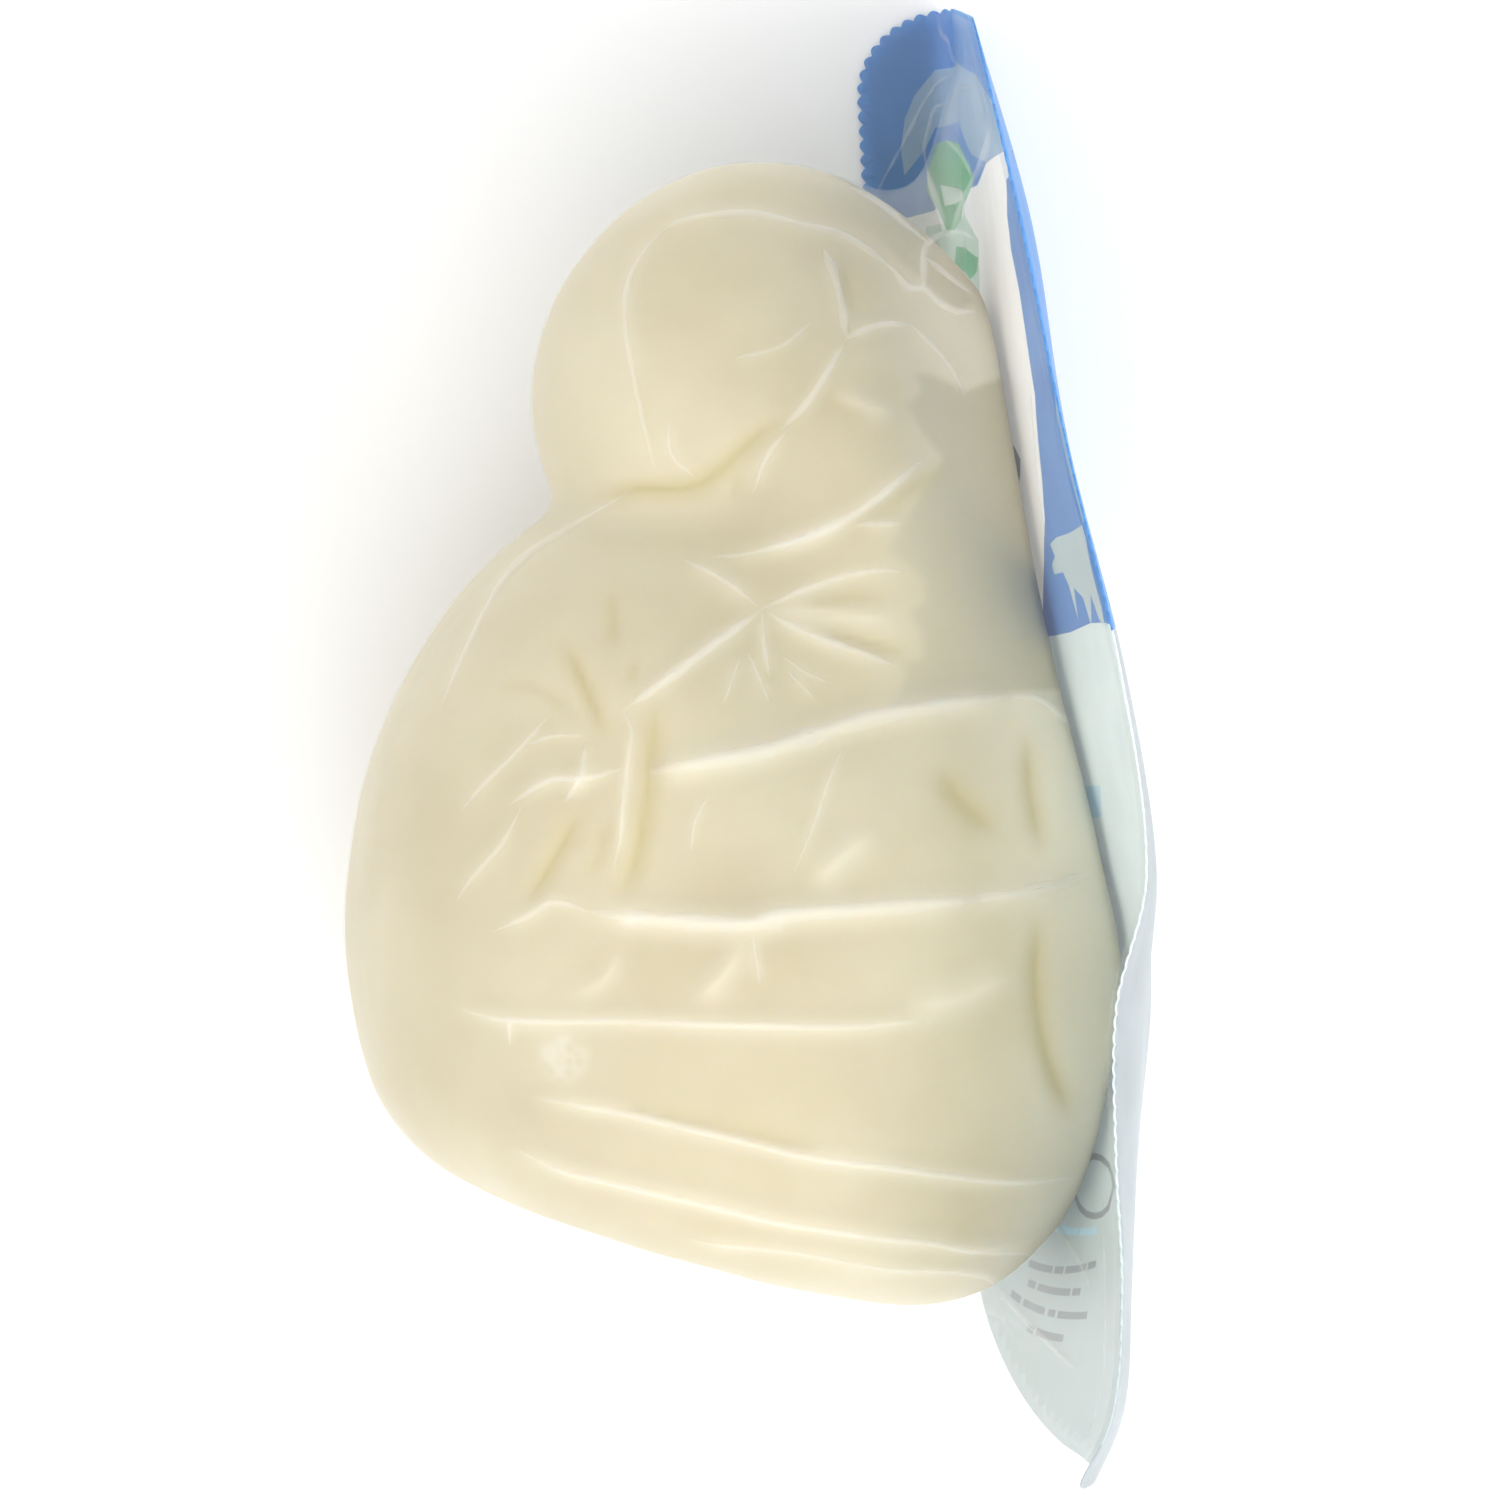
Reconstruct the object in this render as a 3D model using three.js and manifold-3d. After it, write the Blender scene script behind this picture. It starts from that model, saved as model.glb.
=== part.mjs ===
// Vacuum-packed scamorza, in millimetres, lying on its flank with +Z up.
// A pear-shaped cheese, with a ball of a head, a creased neck and a slanted flat base, is sealed
// between a clear film drawn tight over it and a flat printed film behind its back.
// +X points from the cheese towards the printed film, and +Y from the base to the head.
// The shape is written about the middle of the cheese, and the whole is then centred on the floor.
import * as THREE from 'three'
import { mergeVertices } from 'three/addons/utils/BufferGeometryUtils.js'
import Module from 'manifold-3d'

const wasm = await Module()
wasm.setup()

// Cheese: smoothly joined ellipsoids, each with its centre, its three radii and its turn about Z
const axisHeight = 34 // the cheese's middle above the floor
const head = { at: [-0.6, 34.8, 36], radii: [21, 19, 20.5], turn: 0.92 }
const neck = { at: [12.5, 23.9, axisHeight], radii: [17, 27.1, 26.5], turn: 0.25 }
const body = { at: [0, -22.9, axisHeight], radii: [36, 36.9, 35.4], turn: -0.3 }
const shoulder = { at: [-10.9, -6.5, axisHeight], radii: [25.2, 34, 32], turn: -0.39 }
const backBulk = { at: [13, -13, axisHeight], radii: [30, 33, 30.5], turn: 0 } // pressed flat on the film
const creaseSoftness = 3 // how widely the head runs into the neck
const neckSoftness = 11.4
const bodySoftness = 5.7
const baseDepth = 48.4 // from the middle down to the flat base, along -Y
const baseSlant = THREE.MathUtils.degToRad(15.9)
const baseRounding = 7.7

// Films: both have one cut outline, and they run from the far edge, flat on the floor, round a
// bend and up behind the cheese to the near edge
const filmThickness = 0.4
const filmGap = 0.3 // between the printed film and what is sealed to it
const farFlange = 7 // flat on the floor
const bendRadius = 2.5
const seamHeight = 56 // how high the cheese stays against the printed film
const outerHeight = 78 // where the near flange stands out furthest
const nearEdgeHeight = 88
const cornerRadii = { topFar: 10, topNear: 7, bottomFar: 8, bottomNear: 3 }
const topEnd = { far: 70, near: 68 } // Y of the cut ends at the two long edges
const bottomEnd = { far: -46, near: -63.3 }
const bottomEndCurve = 3.4 // how late the bottom end swings up towards the far edge
// The printed film's X at each station along Y: at the bend, at the height where the cheese
// leaves it, where the near flange stands out furthest, and at the near edge
const stations = [
  { y: -64, bend: 17.5, seam: 28.2, outer: 30.6, near: 28.4 },
  { y: -57, bend: 20, seam: 30.9, outer: 33.4, near: 32 },
  { y: -46, bend: 24, seam: 32.6, outer: 34.1, near: 33 },
  { y: -33, bend: 29.5, seam: 34, outer: 34.7, near: 32.4 },
  { y: -20, bend: 31, seam: 35.2, outer: 35.5, near: 32.4 },
  { y: -8, bend: 30, seam: 32.8, outer: 36.1, near: 35.1 },
  { y: 10, bend: 26, seam: 28.9, outer: 33, near: 32.8 },
  { y: 30, bend: 22, seam: 25.3, outer: 28, near: 28 },
  { y: 50, bend: 20.5, seam: 23.2, outer: 24.9, near: 23.8 },
  { y: 68, bend: 19.5, seam: 19.8, outer: 19.7, near: 19.6 },
]

// Pockets that the clear film bridges between cheese and printed film, and how widely it spreads
const pockets = [
  { at: [20.5, 50, 40], radii: [4.5, 12, 22], turn: -0.1 },
  { at: [29, -46, 38], radii: [7, 9, 22], turn: 0.3 },
]
const pocketSoftness = 8
const sealSoftness = 6 // the film's flare where it meets the flange
const flareReach = 4.4

// Pleats of the film, as points along X and Y on the upper flank; a negative height is a groove
const pleats = [
  { height: 1.1, width: 1.9, along: [[-22, -3.5], [-15, -1.4], [-7, -0.3], [12, 4.5], [25.7, 6]] },
  { height: 1.1, width: 1.9, along: [[-24, -15.2], [-18.3, -12.4], [-6.4, -14.1], [5, -13.2], [32, -10.4]] },
  { height: 0.7, width: 1.7, along: [[-26.1, -22.4], [-6.4, -23.5], [19.3, -23.3]] },
  { height: 0.8, width: 1.8, along: [[-19.3, -30.2], [-4.1, -33.5], [9.6, -36.1], [29.4, -38]] },
  { height: 0.7, width: 1.7, along: [[-21.1, -35.2], [-6.4, -39.8], [7.3, -42.5], [27.5, -44.8]] },
  { height: 0.7, width: 1.7, along: [[15.1, 12], [0.9, 14.3], [-11.9, 5.2]] },
  { height: 0.6, width: 1.7, along: [[0.5, 19.4], [9.6, 23.5], [18.8, 28.1]] },
  { height: -1, width: 2, along: [[-8.7, 6.1], [-10.1, -5.4], [-12.4, -12.3]] },
  { height: -0.8, width: 1.8, along: [[-14.7, 1.5], [-20.6, -12.9]] },
]
const pleatsFrom = 38 // the height at which the pleats begin on the flank
const pleatsFull = 50

// The cheese is cast outwards from one point near its back, along rays that an evenly split ball spreads
const rayStart = new THREE.Vector3(29.5, -6, axisHeight + 2)
const ball = { at: new THREE.Vector3(-2, 1, axisHeight + 1), radius: 34, detail: 20 }
const backInset = 0.2 // how far the cheese's back stops inside the clear film

// Distances: negative inside, as smooth joins and cuts need them
function smoothJoin(a, b, width) {
  const overlap = Math.max(width - Math.abs(a - b), 0) / width
  return Math.min(a, b) - (overlap * overlap * width) / 4
}

const smoothCut = (a, b, width) => -smoothJoin(-a, -b, width)

function ellipsoidDistance(point, { at, radii, turn }) {
  const [dx, dy, dz] = [point.x - at[0], point.y - at[1], point.z - at[2]]
  const u = dx * Math.cos(turn) + dy * Math.sin(turn)
  const v = dy * Math.cos(turn) - dx * Math.sin(turn)
  const scaled = Math.hypot(u / radii[0], v / radii[1], dz / radii[2])
  const slope = Math.hypot(u / radii[0] ** 2, v / radii[1] ** 2, dz / radii[2] ** 2)
  return slope > 0 ? (scaled * (scaled - 1)) / slope : -Math.min(...radii)
}

function cheeseDistance(point) {
  const baseOut = -(point.x * Math.sin(baseSlant) + (point.y + baseDepth) * Math.cos(baseSlant))
  const round = [shoulder, backBulk].reduce(
    (joined, part) => smoothJoin(joined, ellipsoidDistance(point, part), bodySoftness),
    ellipsoidDistance(point, body),
  )
  const flatBased = smoothCut(round, baseOut, baseRounding)
  const necked = smoothJoin(flatBased, ellipsoidDistance(point, neck), neckSoftness)
  return smoothJoin(necked, ellipsoidDistance(point, head), creaseSoftness)
}

// Printed film: its inner face, as X over Y and Z, and as a point of the cut sheet
const railNames = ['bend', 'seam', 'outer', 'near']
const railHeights = [bendRadius, seamHeight, outerHeight, nearEdgeHeight]
const railSteps = 100

function smoothLine(points, steps) {
  return new THREE.CatmullRomCurve3(points.map(([x, y]) => new THREE.Vector3(x, y, 0))).getPoints(steps)
}

const rails = Object.fromEntries(
  railNames.map((name) => [name, smoothLine(stations.map((s) => [s.y, s[name]]), railSteps)]),
)

function railX(name, y) {
  const rail = rails[name]
  const next = Math.max(1, rail.findIndex((p) => p.x > y))
  const after = y >= rail.at(-1).x ? rail.length - 1 : next
  const [a, b] = [rail[after - 1], rail[after]]
  return a.y + ((b.y - a.y) * (y - a.x)) / (b.x - a.x)
}

function wallX(y, z) { // a smooth curve through the four rails, up the wall
  const values = railNames.map((name) => railX(name, y))
  const last = railHeights.length - 2
  const below = railHeights.findIndex((height) => height > z) - 1
  const span = z >= nearEdgeHeight ? last : Math.max(0, below)
  const slopes = values.map((value, i) => {
    const [lo, hi] = [Math.max(0, i - 1), Math.min(values.length - 1, i + 1)]
    return (values[hi] - values[lo]) / (railHeights[hi] - railHeights[lo])
  })
  const rise = railHeights[span + 1] - railHeights[span]
  const t = THREE.MathUtils.clamp((z - railHeights[span]) / rise, -0.2, 1)
  const fromBelow = values[span] + t * rise * slopes[span]
  const fromAbove = values[span + 1] - (1 - t) * rise * slopes[span + 1]
  const blend = t * t * (3 - 2 * t)
  return fromBelow + (fromAbove - fromBelow) * blend
}

const bendLength = (Math.PI / 2) * bendRadius
const sheetWidth = farFlange + bendLength + nearEdgeHeight - bendRadius - filmThickness

function sheetPoint(along, across) {
  const farness = Math.max(0, 1 - across / sheetWidth)
  const low = bottomEnd.near + (bottomEnd.far - bottomEnd.near) * farness ** bottomEndCurve
  const high = topEnd.near + (topEnd.far - topEnd.near) * farness
  const y = low + (high - low) * along
  const bendX = railX('bend', y)
  const turned = THREE.MathUtils.clamp((across - farFlange) / bendRadius, 0, Math.PI / 2)
  const flat = Math.max(0, farFlange - across)
  if (across < farFlange + bendLength) {
    return new THREE.Vector3(
      bendX - bendRadius - flat + bendRadius * Math.sin(turned),
      y,
      filmThickness + bendRadius * (1 - Math.cos(turned)),
    )
  }
  const z = filmThickness + bendRadius + across - farFlange - bendLength
  return new THREE.Vector3(wallX(y, z), y, z)
}

function sheetNormal(along, across) { // away from the cheese
  const [da, dw] = [0.002, 0.2]
  const alongStep = sheetPoint(along + da, across).sub(sheetPoint(along - da, across))
  const acrossStep = sheetPoint(along, across + dw).sub(sheetPoint(along, across - dw))
  return alongStep.cross(acrossStep).normalize()
}

const sheetLength = topEnd.near - bottomEnd.near
const cornerRows = [0, 1.2, 4, 8, 13] // distances from each cut end
const [middleRows, bendCells, wallCells] = [17, 4, 13]

function evenSteps(from, to, cells) { // evenly, without the first
  return Array.from({ length: cells }, (_, i) => from + ((to - from) * (i + 1)) / cells)
}

function cornerCut(along, side) { // how far a rounded corner sets the long edge in
  const radius = cornerRadii[(along < 0.5 ? 'bottom' : 'top') + side]
  const fromEnd = Math.min(along, 1 - along) * sheetLength
  return fromEnd < radius ? radius - Math.sqrt(radius ** 2 - (radius - fromEnd) ** 2) : 0
}

// A closed layer between two distances from the printed film's inner face
function filmLayer(from, to) {
  const ends = cornerRows.map((d) => d / sheetLength)
  const middle = evenSteps(ends.at(-1), 1 - ends.at(-1), middleRows + 1).slice(0, middleRows)
  const marks = [...ends, ...middle, ...ends.map((r) => 1 - r).reverse()]
  const wallStart = farFlange + bendLength
  const bendLines = evenSteps(farFlange, wallStart, bendCells)
  const lines = [0, farFlange / 2, farFlange, ...bendLines, ...evenSteps(wallStart, sheetWidth, wallCells)]
  const positions = []
  for (const distance of [from, to]) {
    for (const a of marks) {
      const [farCut, nearCut] = [cornerCut(a, 'Far'), cornerCut(a, 'Near')]
      for (const w of lines) {
        const across = farCut + (w * (sheetWidth - farCut - nearCut)) / sheetWidth
        const p = sheetPoint(a, across).addScaledVector(sheetNormal(a, across), distance)
        positions.push(p.x, p.y, p.z)
      }
    }
  }
  const [m, n] = [marks.length, lines.length]
  const inner = (i, j) => i * n + j
  const outer = (i, j) => m * n + i * n + j
  const faces = []
  const quad = (a, b, c, d) => faces.push(a, b, c, a, c, d)
  for (let i = 0; i < m - 1; i++) {
    for (let j = 0; j < n - 1; j++) {
      quad(outer(i, j), outer(i + 1, j), outer(i + 1, j + 1), outer(i, j + 1))
      quad(inner(i, j), inner(i, j + 1), inner(i + 1, j + 1), inner(i + 1, j))
    }
    quad(inner(i, 0), inner(i + 1, 0), outer(i + 1, 0), outer(i, 0))
    quad(inner(i + 1, n - 1), inner(i, n - 1), outer(i, n - 1), outer(i + 1, n - 1))
  }
  for (let j = 0; j < n - 1; j++) {
    quad(inner(0, j + 1), inner(0, j), outer(0, j), outer(0, j + 1))
    quad(inner(m - 1, j), inner(m - 1, j + 1), outer(m - 1, j + 1), outer(m - 1, j))
  }
  const geometry = new THREE.BufferGeometry()
  geometry.setAttribute('position', new THREE.Float32BufferAttribute(positions, 3))
  geometry.setIndex(faces)
  return geometry
}

// Cheese in its clear film: cast outwards from one point, then pleated
function packedDistance(point) {
  let distance = cheeseDistance(point)
  for (const pocket of pockets) {
    distance = smoothJoin(distance, ellipsoidDistance(point, pocket), pocketSoftness)
  }
  const toSheet = wallX(point.y, point.z) - point.x
  const flared = smoothJoin(distance, toSheet - filmGap - filmThickness, sealSoftness)
  return Math.max(flared, distance - flareReach, filmGap + backInset - toSheet)
}

function castFrom(start, direction) {
  const point = start.clone()
  let travelled = 0
  let step = 1
  while (packedDistance(point.copy(start).addScaledVector(direction, travelled + step)) < 0) travelled += step
  for (let halving = 0; halving < 18; halving++) {
    step /= 2
    if (packedDistance(point.copy(start).addScaledVector(direction, travelled + step)) < 0) travelled += step
  }
  return start.clone().addScaledVector(direction, travelled)
}

const pleatLines = pleats.map(({ along }) => smoothLine(along, along.length * 8))

function pleatHeight(point) {
  const fade = THREE.MathUtils.smoothstep(point.z, pleatsFrom, pleatsFull)
  if (fade === 0) return 0
  return fade * pleats.reduce((sum, { height, width }, i) => {
    const nearest = Math.min(...pleatLines[i].map(({ x, y }) => Math.hypot(point.x - x, point.y - y)))
    return sum + height * Math.exp(-((nearest / width) ** 2))
  }, 0)
}

function packedCheese() {
  const sphere = new THREE.IcosahedronGeometry(ball.radius, ball.detail)
  for (const name of ['normal', 'uv']) sphere.deleteAttribute(name)
  const geometry = mergeVertices(sphere, 1e-3)
  const position = geometry.getAttribute('position')
  const direction = new THREE.Vector3()
  for (let i = 0; i < position.count; i++) {
    direction.fromBufferAttribute(position, i).add(ball.at).sub(rayStart).normalize()
    const point = castFrom(rayStart, direction)
    const clear = wallX(point.y, point.z) - point.x > filmGap + filmThickness + 1
    if (clear) point.addScaledVector(direction, pleatHeight(point))
    position.setXYZ(i, point.x, point.y, point.z)
  }
  return geometry
}

// Joins and cuts
function toSolid(geometry) {
  return new wasm.Manifold(new wasm.Mesh({
    numProp: 3,
    vertProperties: new Float32Array(geometry.getAttribute('position').array),
    triVerts: new Uint32Array(geometry.getIndex().array),
  }))
}

function toGeometry(solid) {
  const mesh = solid.getMesh()
  const geometry = new THREE.BufferGeometry()
  geometry.setAttribute('position', new THREE.Float32BufferAttribute(mesh.vertProperties, 3))
  geometry.setIndex(Array.from(mesh.triVerts))
  return geometry
}

function floorBlock() { // takes off what would reach below the floor, which leaves the flat spot
  const depth = 10
  const block = new THREE.BoxGeometry(200, 200, depth).translate(0, 0, -depth / 2)
  for (const name of ['normal', 'uv']) block.deleteAttribute(name)
  return mergeVertices(block)
}

function namedMesh(name, geometry, look) {
  const mesh = new THREE.Mesh(geometry, new THREE.MeshStandardMaterial({ metalness: 0, ...look }))
  mesh.name = name
  return mesh
}

function outerBody(solid) { // fills a hollow that the join seals, and drops a loose scrap
  return solid.decompose().reduce((best, next) => (next.volume() > best.volume() ? next : best))
}

const clearFilm = filmLayer(-filmGap - filmThickness, -filmGap)
const filmWrapped = outerBody(toSolid(packedCheese()).add(toSolid(clearFilm)).subtract(toSolid(floorBlock())))

const pack = new THREE.Group()
pack.add(namedMesh('film_wrapped_cheese', toGeometry(filmWrapped), { color: 0xdfd4b6, roughness: 0.25 }))
pack.add(namedMesh('printed_film', filmLayer(0, filmThickness), { color: 0xa9c3d6, roughness: 0.35 }))

const bounds = new THREE.Box3().setFromObject(pack)
const centre = bounds.getCenter(new THREE.Vector3())
pack.position.set(-centre.x, -centre.y, 0)

export default pack
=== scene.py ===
from math import cos, pi, radians, sin

import bmesh
import bpy
import numpy as np
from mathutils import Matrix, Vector, noise
from mathutils.geometry import delaunay_2d_cdt


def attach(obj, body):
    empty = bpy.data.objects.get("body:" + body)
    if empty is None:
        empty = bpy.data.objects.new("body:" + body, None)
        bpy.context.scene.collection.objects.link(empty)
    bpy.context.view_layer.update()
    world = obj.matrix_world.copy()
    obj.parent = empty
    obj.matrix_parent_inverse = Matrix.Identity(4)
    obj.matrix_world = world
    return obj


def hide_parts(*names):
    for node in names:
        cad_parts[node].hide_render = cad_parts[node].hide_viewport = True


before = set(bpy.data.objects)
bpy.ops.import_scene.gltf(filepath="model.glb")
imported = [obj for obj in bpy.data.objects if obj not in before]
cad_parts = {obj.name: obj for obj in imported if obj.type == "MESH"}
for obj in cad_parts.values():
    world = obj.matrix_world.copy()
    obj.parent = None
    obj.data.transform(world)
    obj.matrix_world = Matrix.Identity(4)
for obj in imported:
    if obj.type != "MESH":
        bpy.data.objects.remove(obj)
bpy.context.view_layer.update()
mm = 0.001

cheese = {
    "head": {"at": (-0.6, 34.8, 36), "radii": (21, 19, 20.5), "turn": 0.92},
    "neck": {"at": (12.5, 23.9, 34), "radii": (17, 27.1, 26.5), "turn": 0.25},
    "body": {"at": (0, -22.9, 34), "radii": (36, 36.9, 35.4), "turn": -0.3},
    "shoulder": {"at": (-10.9, -6.5, 34), "radii": (25.2, 34, 32), "turn": -0.39},
    "backBulk": {"at": (13, -13, 34), "radii": (30, 33, 30.5), "turn": 0},
    "creaseSoftness": 3,
    "neckSoftness": 11.4,
    "bodySoftness": 5.7,
    "baseDepth": 48.4,  # from the middle down to the flat base, along -Y
    "baseSlant": radians(15.9),
    "baseRounding": 7.7,
    "backGap": 0.6,  # to the printed film
    "backRounding": 4,
    "filledRounding": 1.2,  # the cheese's own, where it fills the corner under the film
    "floorGap": 0.3,
    "castFrom": (-5, -6, 36),  # behind the printed film by the first number
    "grain": 0.6,  # the mesh's spacing
    "unevenness": 0.22,
    "unevenSize": 9,
    "unevenFrom": (4, 12),  # the heights over which the unevenness sets in
}

sheet = {
    "farFlange": 7,  # flat on the floor
    "bendRadius": 2.5,
    "seat": 0.4,  # the inner face's height on the floor
    "seamHeight": 56,  # how high the cheese stays against the printed film
    "outerHeight": 78,
    "nearEdgeHeight": 88,
    "cornerRadii": {"topFar": 10, "topNear": 7, "bottomFar": 8, "bottomNear": 3},
    "topEnd": (70, 68),  # Y at the far and at the near edge
    "bottomEnd": (-46, -63.3),
    "bottomEndCurve": 3.4,
    "alongY": (-64, -57, -46, -33, -20, -8, 10, 30, 50, 68),
    "bend": (17.5, 20, 24, 29.5, 31, 30, 26, 22, 20.5, 19.5),
    "seam": (28.2, 30.9, 32.6, 34, 35.2, 32.8, 28.9, 25.3, 23.2, 19.8),
    "outer": (30.6, 33.4, 34.1, 34.7, 35.5, 36.1, 33, 28, 24.9, 19.7),
    "near": (28.4, 32, 33, 32.4, 32.4, 35.1, 32.8, 28, 23.8, 19.6),
    "thickness": 0.2,
    "behind": 0.1,  # how far the printed film's inner face lies behind the seal
    "spacing": 1.9,
    "toothPitch": 1.4,
    "toothDepth": 0.45,
}

clear = {
    "castFrom": (2.5, -6, 36),
    "pockets": (
        {"at": (20.5, 50, 40), "radii": (4.5, 12, 22), "turn": -0.1},
        {"at": (29, -46, 38), "radii": (7, 9, 22), "turn": 0.3},
    ),
    "pocketSoftness": 8,
    "sealSoftness": 6,
    "gap": 0.35,  # from the sheet to the sealed film
    "offset": 0.15,  # off the cheese
    "floorGap": 0.1,
    "grain": 0.68,
    "plateDepth": 6,  # a plate behind the film while it is shaped, which is then taken away
    "plateReach": 9.5,
    "plateSoftness": 2.5,
}

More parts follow.
